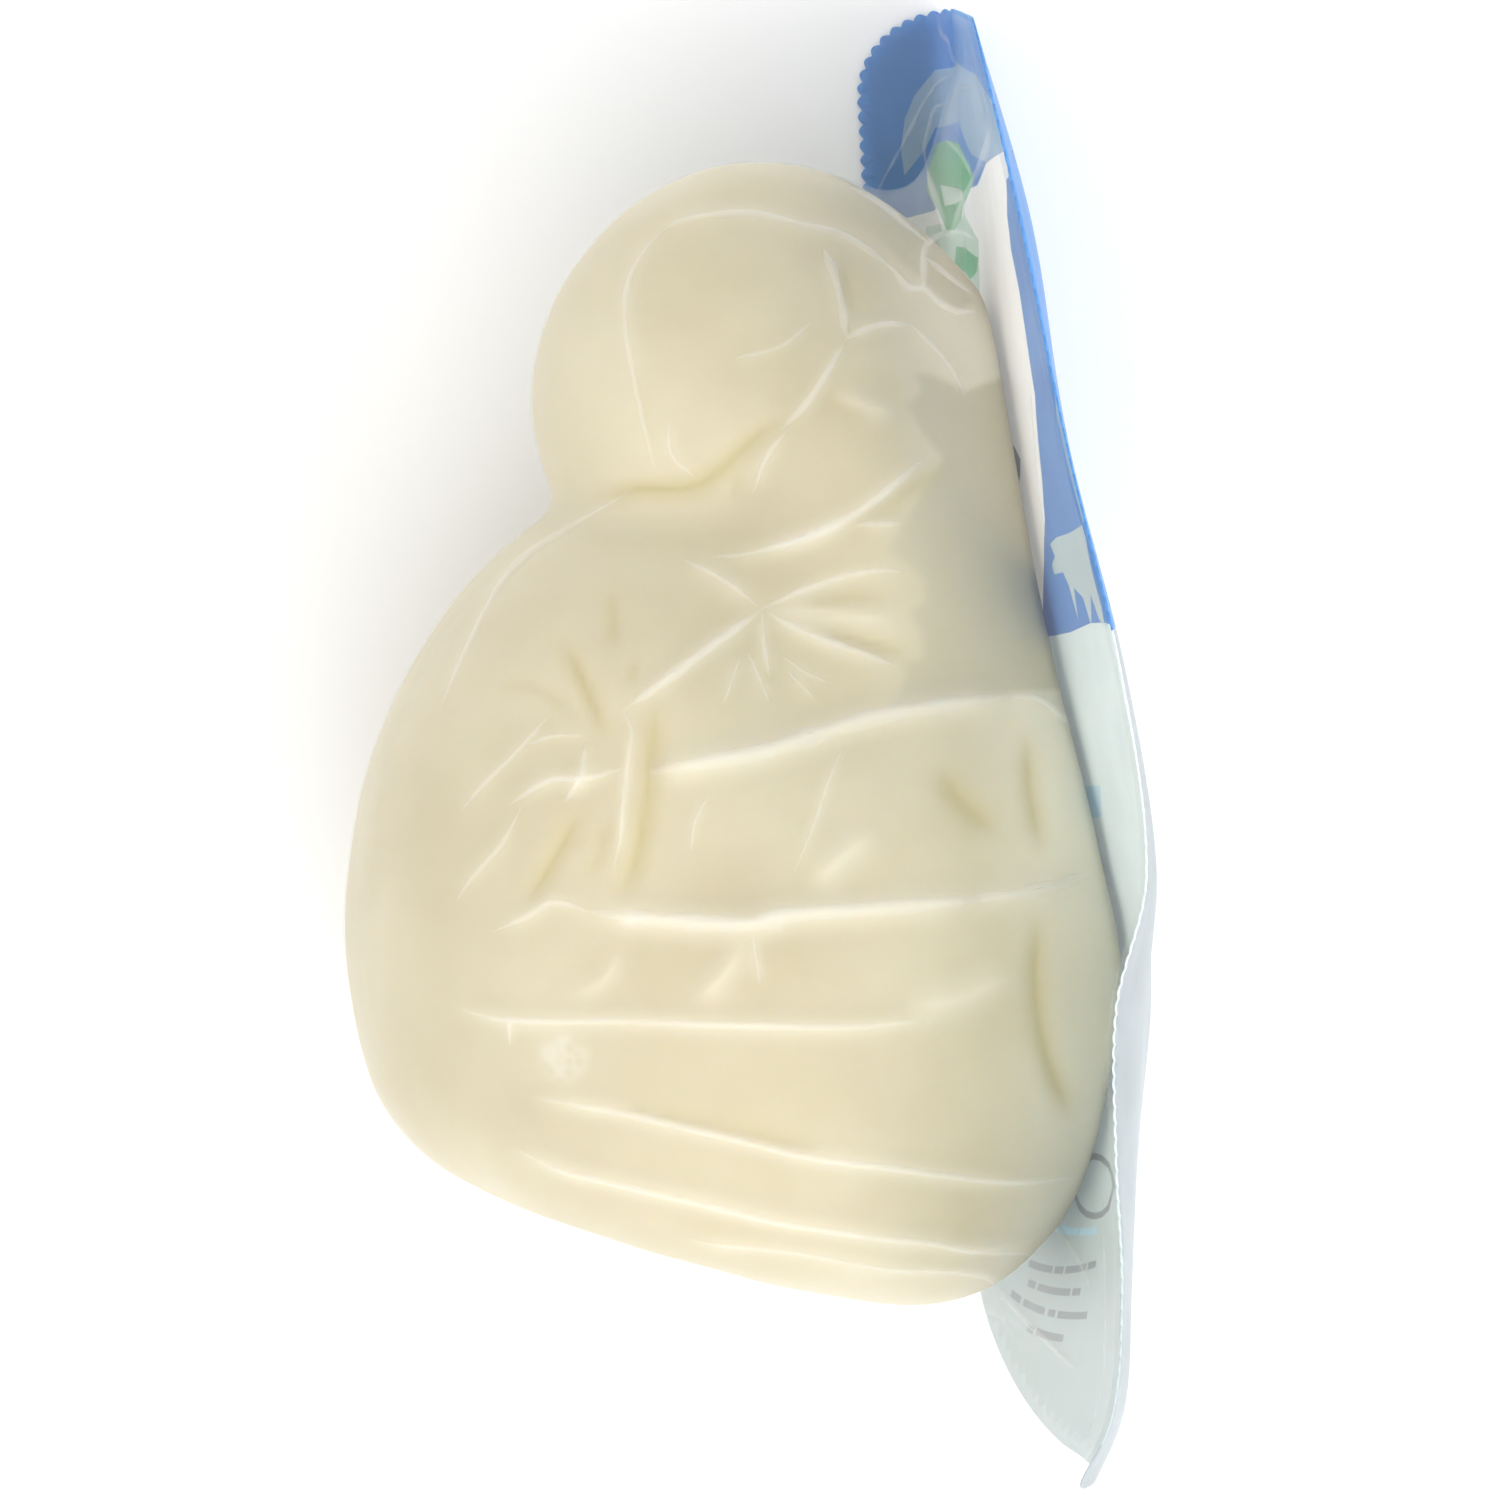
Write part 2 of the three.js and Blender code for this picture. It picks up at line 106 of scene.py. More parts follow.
# Folds of the film. Each has its height, less than 0 for a groove, its width, the width of the
# crisp crease along its top, where it has one, and its points along X and Y on the upper flank
folds = {
    "from": 38,  # the height at which they begin on the flank
    "full": 48,
    "offBack": (0.6, 2.4),  # how far from the printed film they set in
    "fading": (0.35, 4),  # at each end: at most this share of the line, at most these millimetres
    "onCheese": (0.75, 0.55),  # the shares of ridges and of grooves that the cheese has
    "onFilm": (1, 0.5),
    "lines": (
        (0.3, 2, 0.4, (
            (-8, 48.9), (-6.5, 49.6), (-0.6, 50.5), (3.1, 49.8), (4.6, 49.3), (8.3, 48.4), (11.3, 46.7),
            (13.4, 45.1))),
        (0.25, 2, 0.3, (
            (-8, 48.9), (-10.2, 46.3), (-11.4, 43.4), (-11.4, 40.1), (-10.7, 35.7), (-9.8, 31.3),
            (-8.7, 26.9))),
        (-0.3, 1.6, 0, ((-10.9, 37.2), (-9.4, 30.6), (-9, 27.6))),
        (0.35, 1.6, 0.5, ((6.8, 47.1), (7.7, 44.9), (8.5, 41.6), (8.8, 39.3))),
        (-0.3, 1.8, 0, ((8.3, 46.3), (8.8, 44.3), (9.4, 40.9))),
        (0.35, 1.5, 0.4, ((8.8, 39.1), (11.9, 40.2), (14.9, 40.3))),
        (0.35, 1.6, 0.45, ((8.8, 38.9), (6.8, 35.4), (5, 32.9), (2.8, 30.7))),
        (-0.9, 2, 0, (
            (3.5, 31.8), (0.9, 30.3), (-2.8, 26.9), (-5.3, 25.2), (-10.9, 24.8), (-14.8, 23.6))),
        (0.2, 1.6, 0.25, ((-7.5, 31.3), (-7.2, 28.4), (-5, 26.2))),
        (0.15, 1.4, 0.25, ((-1.3, 37.3), (2.8, 38.3), (5.7, 40.5))),
        (0.25, 1.8, 0.3, ((0.2, 24.7), (1.7, 28.4), (3.5, 30.7))),
        (-0.3, 1.2, 0, ((-1.3, 26.6), (-1.3, 24))),
        (0.5, 2, 0.5, ((0.9, 19.6), (6.4, 21.2), (11.2, 24.2), (16.1, 28.2))),
        (-0.4, 2, 0, ((8.2, 21.6), (11.2, 23.1), (17, 26.8), (19.1, 27.9))),
        (0.35, 2.4, 0, ((7.2, 34.3), (10.4, 32.9), (13.7, 32.2))),
        (-0.3, 1.8, 0, ((6.1, 33.4), (11.2, 31.6))),
        (0.25, 1.8, 0.25, ((14.9, 40.2), (17.9, 37), (19.9, 33.4))),
        (0.2, 1.6, 0.3, (
            (-11.1, 24.8), (-16.2, 21.6), (-21.4, 18.2), (-23.6, 15.3), (-25.7, 11), (-28.6, 5))),
        (0.5, 1.8, 0.55, ((1.3, 14.4), (-0.2, 13.3), (-4.2, 10.5), (-8.6, 7.3), (-11.5, 5.3))),
        (0.4, 2.6, 0.3, ((0.9, 14.4), (-2, 16.5), (-6.1, 18.7))),
        (0.4, 1.6, 0.4, ((1.3, 14.4), (6.4, 16.6), (11.2, 17.9), (14.1, 17.8))),
        (0.4, 2.4, 0, ((1.3, 14.2), (6.1, 14), (11.2, 13.5), (14.3, 12.8))),
        (0.5, 1.8, 0.45, ((1.5, 14), (5.3, 12), (10.1, 10.4), (13.4, 9.1))),
        (-0.5, 1.6, 0, ((6.4, 12.4), (11.2, 11), (15, 10.4))),
        (-0.3, 1.8, 0, ((4.6, 14.9), (9.7, 15.4), (13.7, 15.7))),
        (0.3, 1.4, 0.3, ((1.1, 14), (1.3, 10.4), (1.8, 8.2))),
        (0.2, 1.4, 0.2, ((-0.2, 10.4), (1.8, 5.9))),
        (0.2, 1.5, 0.2, ((-0.9, 10.1), (-2.4, 5.8))),
        (0.2, 1.5, 0.2, ((3.1, 10), (4.9, 8.6), (7.5, 7.5))),
        (0.2, 1.5, 0.2, ((3.5, 8.6), (6, 6))),
        (0.3, 2.2, 0.3, ((9.3, 23.4), (4.6, 20.6), (0.2, 19.3), (-3.5, 18.9))),
        (0.3, 1.8, 0.35, ((9.7, 22.1), (13.9, 22.3))),
        (0.35, 1.6, 0.3, (
            (-11.5, 5.3), (-10.8, 3.3), (-11.1, 0.8), (-11.5, -2.8), (-11.8, -6.4), (-12.4, -8.9))),
        (-0.8, 2.3, 0, ((-8.8, 6.6), (-9.1, 0.8), (-9.7, -4.6), (-10.4, -8.2), (-11.8, -11.8))),
        (-0.5, 1.5, 0, ((-12.9, 16.1), (-12.5, 13.3), (-12.6, 10.5))),
        (-0.35, 1.2, 0, ((-10.4, 10.1), (-11, 7.3))),
        (-0.75, 1.9, 0, ((-17.4, 11.8), (-15.9, 9), (-14.1, 5.1), (-13.1, 2.4))),
        (-0.3, 1.5, 0, ((-12.9, -3.9), (-14, -8.6), (-14.8, -10.4))),
        (-0.6, 1.8, 0, ((-15.3, -3.5), (-17.3, -7.2), (-19.5, -10.9), (-20.6, -12.8))),
        (-0.3, 1.5, 0, ((-23.7, 7.1), (-20.4, 7.3), (-18.1, 6.3), (-16.3, 4.7), (-15.2, 3.6))),
        (0.2, 1.3, 0.2, ((-14.8, 2.9), (-17.7, 2.9), (-20.3, 2.1))),
        (0.25, 1.5, 0.25, ((-18.5, 4.6), (-21, 1.7), (-24, -1.3), (-26.6, -4.3))),
        (0.25, 1.5, 0.25, ((-21, -3.7), (-22.5, -6.7), (-25.8, -10.8), (-26.8, -12.3))),
        (0.3, 1.5, 0.3, ((-15, 2.2), (-15.3, -0.7), (-17, -3.2))),
        (0.45, 1.8, 0.35, ((-11.5, 0.1), (-15.5, -1), (-18.1, -1.1), (-22.1, -3.4))),
        (0.8, 2.6, 0.95, (
            (-9.1, -0.3), (-2.7, 0.8), (0.9, 1.4), (8.2, 3.5), (11.9, 4.6), (18.8, 5.7), (23.9, 6.2))),
        (0.5, 2.2, 0.4, ((23.9, 6.2), (26.7, 5.8), (29.5, 3.7))),
        (0.2, 1.2, 0.25, ((-3.8, -2.4), (-5.1, -4.9), (-5.3, -7.5))),
        (0.3, 1.6, 0.25, ((8.6, 2.1), (7.1, -1.5), (5.7, -5.4), (4, -9.3))),
        (0.5, 3.4, 0, ((11.9, -5.4), (8.2, -8.2), (5.3, -11.1))),
        (-0.6, 3, 0, ((17, 0.6), (19.2, -3), (22.9, -6.3))),
        (0.35, 1.8, 0.35, ((-23.6, -15.1), (-20.3, -13.5), (-17.9, -12.1), (-14.4, -13))),
        (0.9, 2.8, 0.9, (
            (-14.4, -13), (-10.4, -13.4), (-4.5, -13.8), (0.2, -13.9), (2.7, -13.2), (10, -12.7),
            (21, -12))),
        (0.7, 2.8, 0.7, ((19.2, -12.1), (26.6, -11.2), (31.2, -10))),
        (0.45, 2, 0.45, (
            (-26.2, -22.5), (-21.5, -23.1), (-11.4, -22.8), (0, -23.1), (9.1, -23.3), (16, -22.9))),
        (0.2, 1.2, 0.2, ((-21.8, -22.7), (-22, -25.5))),
        (0.35, 2.6, 0, ((0, -14.9), (-2.7, -19), (-5.5, -21.3))),
        (0.25, 1.5, 0.25, ((0.2, -14.9), (0.9, -19.4))),
        (0.3, 2.2, 0, ((-11.8, -15.9), (-13.2, -19.1), (-16.9, -21.1))),
        (0.5, 3.6, 0, ((25.2, -18.6), (18.3, -21.1), (13.7, -21.7))),
        (-0.4, 1.8, 0, ((-12.3, -30.5), (-4.6, -32), (3.6, -33.9), (6.8, -34.7))),
        (0.5, 2, 0.45, (
            (-18.8, -30.3), (-12.3, -31.1), (-4.6, -32.8), (0, -33.9), (4.6, -35.1), (11.4, -36.3),
            (18.4, -37.6), (25.3, -38.7), (29.5, -38.5))),
        (0.5, 2, 0.4, (
            (-21.1, -35.4), (-17, -37), (-12.4, -37.9), (-4.6, -39.6), (2.3, -41.4), (9.2, -42.7),
            (16.1, -43.9), (20.8, -45.1), (27.1, -45.1))),
        (0.35, 1.8, 0.25, ((-5.5, -43.3), (4.6, -44.6), (13.8, -46.6), (21.8, -47.9), (24.1, -50.2))),
        (-0.6, 2.2, 0, ((26.3, -13.6), (26.3, -21.5), (27.6, -27.7), (30, -33.3))),
        (-0.5, 2.2, 0, ((25.3, 3.6), (25.7, -2.3), (27, -8.6))),
        (0.15, 1.2, 0.35, ((16.4, 54.4), (16.8, 52.8), (17.6, 50.1), (17.8, 48.9))),
        (0.15, 1.2, 0.4, ((21.7, 58.1), (21.3, 55.8), (20.4, 53.6), (19.3, 51.2), (18.5, 48.9))),
        (0.12, 1, 0.3, ((18, 57.2), (19.4, 55.8), (20.1, 54.5), (20.3, 53.8))),
        (0.2, 1.4, 0.4, ((17.8, 48.8), (16.6, 47.9), (16, 46.9), (16.1, 43.6))),
        (0.12, 1, 0.3, ((16.2, 46.4), (18.3, 44.8), (20.3, 43.2))),
        (0.25, 1.6, 0.4, (
            (12.9, 45.6), (14.7, 43.6), (16.2, 43.5), (17.3, 42.4), (19.1, 41.5), (20.7, 41.5))),
        (0.2, 1.4, 0.35, ((9.3, 52.8), (11.5, 51.6), (14.1, 49.6), (16.4, 47.8))),
        (0.1, 1, 0.25, ((17.9, 48.5), (19.3, 48.9), (20.8, 48.1))),
    ),
}


# Distances are negative inside, as soft joins and cuts need them
def softJoin(a, b, width):
    overlap = np.maximum(width - np.abs(a - b), 0) / width
    return np.minimum(a, b) - overlap**2 * width / 4


def softCut(a, b, width):
    return -softJoin(-a, -b, width)


def softStep(value, low, high):
    t = np.clip((value - low) / (high - low), 0, 1)
    return t * t * (3 - 2 * t)


def eggDistance(p, egg):
    dx, dy, dz = (p[..., i] - egg["at"][i] for i in range(3))
    c, s = cos(egg["turn"]), sin(egg["turn"])
    u, v = dx * c + dy * s, dy * c - dx * s
    ru, rv, rz = egg["radii"]
    scaled = np.sqrt((u / ru) ** 2 + (v / rv) ** 2 + (dz / rz) ** 2)
    slope = np.sqrt((u / ru**2) ** 2 + (v / rv**2) ** 2 + (dz / rz**2) ** 2)
    return scaled * (scaled - 1) / np.maximum(slope, 1e-6)


def pearDistance(p):
    c = cheese
    belowBase = -(p[..., 0] * sin(c["baseSlant"]) + (p[..., 1] + c["baseDepth"]) * cos(c["baseSlant"]))
    bulk = eggDistance(p, c["body"])
    for name in ("shoulder", "backBulk"):
        bulk = softJoin(bulk, eggDistance(p, c[name]), c["bodySoftness"])
    flatBased = softCut(bulk, belowBase, c["baseRounding"])
    necked = softJoin(flatBased, eggDistance(p, c["neck"]), c["neckSoftness"])
    return softJoin(necked, eggDistance(p, c["head"]), c["creaseSoftness"])


# A smooth curve through values at places, straight beyond its ends
def throughPoints(places, values, at):
    places, values = np.asarray(places, float), np.asarray(values, float)
    steps = np.diff(values) / np.diff(places)
    across = (values[2:] - values[:-2]) / (places[2:] - places[:-2])
    slopes = np.concatenate([steps[:1], across, steps[-1:]])
    i = np.clip(np.searchsorted(places, at) - 1, 0, len(places) - 2)
    width = places[i + 1] - places[i]
    raw = (at - places[i]) / width
    t = np.clip(raw, 0, 1)
    ends = values[i] * (1 + 2 * t) * (1 - t) ** 2 + values[i + 1] * t**2 * (3 - 2 * t)
    bends = width * (slopes[i] * t * (1 - t) ** 2 + slopes[i + 1] * t**2 * (t - 1))
    return ends + bends + (raw - t) * width * np.where(raw > 1, slopes[i + 1], slopes[i])


def wallX(y, z):
    values = [throughPoints(sheet["alongY"], sheet[name], y) for name in ("bend", "seam", "outer", "near")]
    heights = (sheet["bendRadius"], sheet["seamHeight"], sheet["outerHeight"], sheet["nearEdgeHeight"])
    last = len(heights) - 1
    slopes = []
    for i in range(last + 1):
        low, high = max(0, i - 1), min(last, i + 1)
        slopes.append((values[high] - values[low]) / (heights[high] - heights[low]))
    x = values[0]
    for i in range(last):
        rise = heights[i + 1] - heights[i]
        t = np.clip((z - heights[i]) / rise, -0.2, 1)
        below = values[i] + t * rise * slopes[i]
        above = values[i + 1] - (1 - t) * rise * slopes[i + 1]
        span = below + (above - below) * t * t * (3 - 2 * t)
        x = span if i == 0 else np.where(z >= heights[i], span, x)
    return x


sheetLength = sheet["topEnd"][1] - sheet["bottomEnd"][1]
bendLength = pi / 2 * sheet["bendRadius"]
wallStart = sheet["farFlange"] + bendLength
sheetWidth = wallStart + sheet["nearEdgeHeight"] - sheet["bendRadius"] - sheet["seat"]


def sheetEnds(across):
    farness = np.maximum(0, 1 - across / sheetWidth)
    (lowFar, lowNear), (highFar, highNear) = sheet["bottomEnd"], sheet["topEnd"]
    low = lowNear + (lowFar - lowNear) * farness ** sheet["bottomEndCurve"]
    return low, highNear + (highFar - highNear) * farness


# From millimetres along and across the flat film to its place round the cheese
def sheetPoint(flat):
    along, across = flat[..., 0] / sheetLength, flat[..., 1]
    low, high = sheetEnds(across)
    y = low + (high - low) * along
    radius = sheet["bendRadius"]
    turned = np.clip((across - sheet["farFlange"]) / radius, 0, pi / 2)
    onFloor = np.maximum(0, sheet["farFlange"] - across)
    bendX = throughPoints(sheet["alongY"], sheet["bend"], y) - radius - onFloor + radius * np.sin(turned)
    bendZ = sheet["seat"] + radius * (1 - np.cos(turned))
    wallZ = sheet["seat"] + radius + across - wallStart
    onWall = across >= wallStart
    x, z = np.where(onWall, wallX(y, wallZ), bendX), np.where(onWall, wallZ, bendZ)
    return np.stack([x, y, z], -1)


# A point at a distance behind the sealed face, away from the cheese
def sheetOffset(flat, distance):
    step = 0.2
    alongStep = sheetPoint(flat + (step, 0)) - sheetPoint(flat - (step, 0))
    acrossStep = sheetPoint(flat + (0, step)) - sheetPoint(flat - (0, step))
    normal = np.cross(alongStep, acrossStep)
    normal /= np.linalg.norm(normal, axis=-1, keepdims=True)
    return sheetPoint(flat) + normal * distance


# Where points on the wall lie on the flat film
def flatPlace(points):
    y, z = points[..., 1], points[..., 2]
    radius, seat = sheet["bendRadius"], sheet["seat"]
    inBend = sheet["farFlange"] + radius * np.arccos(np.clip(1 - (z - seat) / radius, -1, 1))
    across = np.where(z < seat + radius, inBend, wallStart + z - seat - radius)
    low, high = sheetEnds(across)
    return np.stack([(y - low) / (high - low) * sheetLength, across], -1)


# The pear, pressed flat at its back
def backedDistance(p, rounding):
    toSheet = wallX(p[..., 1], p[..., 2]) - p[..., 0]
    return softCut(pearDistance(p), cheese["backGap"] - toSheet, rounding)


def cheeseShape(p):
    return softCut(backedDistance(p, cheese["filledRounding"]), cheese["floorGap"] - p[..., 2], 1.5)


def reachDistance(p):
    distance = backedDistance(p, cheese["backRounding"]) - clear["offset"]
    for pocket in clear["pockets"]:
        distance = softJoin(distance, eggDistance(p, pocket), clear["pocketSoftness"])
    return distance


def filmShape(p):
    toSheet = wallX(p[..., 1], p[..., 2]) - p[..., 0] - clear["gap"]
    reach = reachDistance(p)
    flared = softJoin(reach, toSheet, clear["sealSoftness"])
    plated = softCut(flared, -clear["plateDepth"] - toSheet, clear["plateSoftness"])
    trimmed = softCut(plated, reach - clear["plateReach"], clear["plateSoftness"])
    return softCut(trimmed, clear["floorGap"] - p[..., 2], 1)


def slopeOf(shape, p):
    step = 1e-3
    here = shape(p)
    slope = np.stack([shape(p + np.eye(3)[i] * step) - here for i in range(3)], -1)
    return slope / np.maximum(np.linalg.norm(slope, axis=-1, keepdims=True), 1e-9)


def pointsOf(obj):
    co = np.empty(len(obj.data.vertices) * 3, np.float32)
    obj.data.vertices.foreach_get("co", co)
    return co.reshape(-1, 3).astype(float)


def setPoints(obj, points):
    obj.data.vertices.foreach_set("co", np.asarray(points, np.float32).ravel())
    obj.data.update()


# How the cast balls are meshed
meshing = {
    "middle": (-33, 1, 35),  # with X measured from the printed film
    "spare": 1.8,
    "castStep": 1,
    "halvings": 6,
    "coarse": (1.6, 14),  # the first mesh's spacing, and the rounds that settle it
    "fineRounds": 8,
    "pull": 0.6,
    "mostMove": 1.5,
}


# Points whose X is measured from the printed film, where that film is flat
def unbent(q):
    return np.stack([q[..., 0] + wallX(q[..., 1], q[..., 2]), q[..., 1], q[..., 2]], -1)


# A ball drawn outwards from one point, both on the unbent film's terms, until it lies on the shape
def castBall(name, shape, start):
    selectOnly()
    start = np.array(start, float)
    middle = np.array(meshing["middle"])
    radius = np.linalg.norm(middle - start) + meshing["spare"]
    bpy.ops.mesh.primitive_ico_sphere_add(subdivisions=6, radius=radius, location=middle)
    bpy.ops.object.transform_apply(location=True)
    obj = bpy.context.object
    obj.name = obj.data.name = name
    ways = pointsOf(obj) - start
    ways /= np.linalg.norm(ways, axis=1, keepdims=True)
    reach, going = np.zeros(len(ways)), np.arange(len(ways))
    step = meshing["castStep"]
    while len(going):
        inside = shape(unbent(start + ways[going] * (reach[going] + step)[:, None])) < 0
        going = going[inside]
        reach[going] += step
    for _ in range(meshing["halvings"]):
        step /= 2
        inside = shape(unbent(start + ways * (reach + step)[:, None])) < 0
        reach += inside * step
    setPoints(obj, unbent(start + ways * reach[:, None]))
    return obj


# Evens out the mesh along the shape's surface and brings every point onto it
def settle(obj, shape, rounds):
    points = pointsOf(obj)
    edges = np.empty(len(obj.data.edges) * 2, np.int32)
    obj.data.edges.foreach_get("vertices", edges)
    ends = np.concatenate([edges.reshape(-1, 2), edges.reshape(-1, 2)[:, ::-1]])
    count = np.bincount(ends[:, 0], minlength=len(points))[:, None]
    for _ in range(rounds):
        total = [np.bincount(ends[:, 0], points[ends[:, 1], i], len(points)) for i in range(3)]
        pull = np.stack(total, 1) / count - points
        normal = slopeOf(shape, points)
        pull -= normal * (pull * normal).sum(1, keepdims=True)
        points += pull * meshing["pull"]
        points -= normal * np.clip(shape(points), -meshing["mostMove"], meshing["mostMove"])[:, None]
    setPoints(obj, points)


# A ball cast onto a shape, then given an even mesh, first a coarse one that heals the cast's jumps
def shapedBall(name, shape, start, grain):
    obj = castBall(name, shape, start)
    for size, rounds in (meshing["coarse"], (grain, meshing["fineRounds"])):
        remesh = obj.modifiers.new("evenMesh", "REMESH")
        remesh.mode = "VOXEL"
        remesh.voxel_size = size
        bpy.ops.object.modifier_apply(modifier="evenMesh")
        settle(obj, shape, rounds)
    print(f"  {name}: {len(obj.data.vertices)} points")
    return obj


lineStep = 0.8
toneGain = 1.6


def smoothLine(points, step):
    points = np.asarray(points, float)
    marks = np.concatenate([[0], np.cumsum(np.linalg.norm(np.diff(points, axis=0), axis=1))])
    at = np.linspace(0, marks[-1], max(4, int(marks[-1] / step)))
    return np.stack([throughPoints(marks, points[:, i], at) for i in range(2)], -1)


# How far the folds lift each point, and a tone from -1 in a groove to 1 on a ridge, which paints shade
# into the grooves and a highlight onto the ridges
def foldHeights(p, shares):
    lift, tone = np.zeros(len(p)), np.zeros(len(p))
    upper = np.nonzero(p[:, 2] > folds["from"])[0]
    flat = p[upper, :2]
    shareOf, longest = folds["fading"]
    for height, width, _, places in folds["lines"]:
        line = smoothLine(places, lineStep)
        low, high = line.min(0) - width * 2, line.max(0) + width * 2
        near = np.nonzero(((flat > low) & (flat < high)).all(1))[0]
        start, along = line[:-1], np.diff(line, axis=0)
        away = flat[near, None] - start
        t = np.clip((away * along).sum(-1) / (along**2).sum(-1), 0, 1)
        gaps = np.linalg.norm(away - along * t[..., None], axis=-1)
        nearest = gaps.argmin(1)
        gap = gaps[np.arange(len(near)), nearest]
        done = (nearest + t[np.arange(len(near)), nearest]) / len(along)
        fading = min(shareOf, longest / (len(along) * lineStep))
        ends = softStep(done, -0.05, fading) * softStep(1 - done, -0.05, fading)
        tent = np.clip(1 - gap / width, 0, 1) ** 2 * ends
        lift[upper[near]] += height * tent * shares[0 if height > 0 else 1]
        tone[upper[near]] += np.sign(height) * min(1, abs(height) * toneGain) * tent
    fade = softStep(p[:, 2], folds["from"], folds["full"])
    return lift * fade, np.clip(tone, -1, 1) * fade


def uneven(p, size, seed):
    return np.array([noise.noise(Vector(q) / size + Vector((seed, 0, 0))) for q in p])


def selectOnly(*pieces):
    for obj in bpy.context.selected_objects:
        obj.select_set(False)
    for obj in pieces:
        obj.select_set(True)
        bpy.context.view_layer.objects.active = obj


def joinTo(obj, other):
    selectOnly(other, obj)
    bpy.ops.object.join()


# A mesh of the faces and of the points that they use
def meshPiece(name, points, faces):
    used, faces = np.unique(faces, return_inverse=True)
    mesh = bpy.data.meshes.new(name)
    mesh.from_pydata(np.asarray(points)[used].tolist(), [], faces.reshape(-1, 3).tolist())
    obj = bpy.data.objects.new(name, mesh)
    bpy.context.collection.objects.link(obj)
    return obj


def smoothShade(obj):
    obj.data.polygons.foreach_set("use_smooth", [True] * len(obj.data.polygons))
    obj.data.update()


# Patches of the cheese: where whey lies under the film at the back, as a loop along X and Y with
# a scalloped edge, and where air bubbles lie, each as X, Y and a radius
patches = {
    "wet": (
        (
            (12.1, 19.9), (14, 18.2), (15.5, 17.1), (15.6, 15.2), (14, 14.1), (15.4, 12), (15.5, 10.2),
            (13.4, 9.6), (13.9, 8.4), (13, 6.2), (10.6, 4.2), (23.4, 6), (30, 6.2), (30, 20), (28, 32),
            (24, 36), (19.8, 34.6), (16.8, 36.2), (14.6, 36.4), (15.3, 34.4), (13.8, 33.2), (15.2, 30.6),
            (17.2, 28)),
        (
            (4.6, 53.5), (9.3, 53.2), (13, 51.2), (16.4, 48.3), (19.2, 45.4), (21.5, 42), (19.3, 40.9),
            (17.4, 42.1), (16, 43.5), (13.4, 46), (11.1, 48.2), (9.3, 49.3), (5.6, 52.1)),
    ),
    "edge": 0.8,
    "paintedLightRimWidth": 14,  # how far from the printed film the cheese is painted paler, as painted light in the shaded notch there
    "paintedLightRimUnderWet": 0.8,  # the share of it that a wet patch takes away
    "bubbleEdge": 0.7,
    "bubbles": ((2.2, -13.6, 1.6), (-10.8, -13.6, 1.2), (-17, -26.4, 3.2)),
}


def cheesePiece():
    c = cheese
    obj = shapedBall("scamorza", cheeseShape, c["castFrom"], c["grain"])
    points = pointsOf(obj)
    lift, tone = foldHeights(points, folds["onCheese"])
    lift = (lift + roughness(points)) * backFade(points)
    setPoints(obj, points + slopeOf(cheeseShape, points) * lift[:, None])
    upper = softStep(points[:, 2], folds["from"], folds["full"])
    wet = np.zeros(len(points))
    flat = points[:, :2]
    for places in patches["wet"]:
        loop = np.array(places)
        wet += insideLoop(flat, loop) * softStep(gapToLine(flat, loop), 0, patches["edge"])
    bubbles = np.zeros(len(points))
    for x, y, radius in patches["bubbles"]:
        away = np.hypot(points[:, 0] - x, points[:, 1] - y) / radius
        bubbles = np.maximum(bubbles, softStep(1 - away, 0, patches["bubbleEdge"]))
    toFilm = wallX(points[:, 1], points[:, 2]) - points[:, 0]
    # rim is painted light: the cheese is paler near the printed film, where the notch lies in shade
    rim = softStep(-toFilm, -patches["paintedLightRimWidth"], -1) * upper * (1 - wet * patches["paintedLightRimUnderWet"])
    for name, values in (("tone", tone), ("wet", wet * upper), ("bubbles", bubbles * upper), ("rim", rim)):
        paintMask(obj, name, values)
    return obj


# How far flat points lie from a closed line
def gapToLine(flat, loop):
    nearest = np.full(len(flat), 1e3)
    for a, b in zip(loop, np.roll(loop, -1, axis=0)):
        t = np.clip(((flat - a) @ (b - a)) / ((b - a) @ (b - a)), 0, 1)
        nearest = np.minimum(nearest, np.linalg.norm(flat - a - t[:, None] * (b - a), axis=1))
    return nearest


def roughness(points):
    lumps = uneven(points, cheese["unevenSize"], 3) * cheese["unevenness"]
    return lumps * softStep(points[:, 2], *cheese["unevenFrom"])


# Folds die away where the cheese or the film meets the printed film
def backFade(points):
    return softStep(wallX(points[:, 1], points[:, 2]) - points[:, 0], *folds["offBack"])


def paintMask(obj, name, values):
    layer = obj.data.attributes.new(name, "FLOAT", "POINT")
    layer.data.foreach_set("value", np.asarray(values, np.float32))


# Which flat points lie inside a closed loop
def insideLoop(points, loop):
    inside = np.zeros(len(points), bool)
    for a, b in zip(loop, np.roll(loop, -1, axis=0)):
        crosses = (a[1] > points[:, 1]) != (b[1] > points[:, 1])
        at = a[0] + (points[:, 1] - a[1]) * (b[0] - a[0]) / (b[1] - a[1] if b[1] != a[1] else 1)
        inside ^= crosses & (points[:, 0] < at)
    return inside


# How far a rounded corner sets the long edge in
def cornerCut(along, side):
    names = np.where(along < sheetLength / 2, 0, 1)
    radius = np.array([sheet["cornerRadii"]["bottom" + side], sheet["cornerRadii"]["top" + side]])[names]
    fromEnd = np.minimum(along, sheetLength - along)
    depth = np.sqrt(np.maximum(0, radius**2 - (radius - fromEnd) ** 2))
    return np.where(fromEnd < radius, radius - depth, 0)


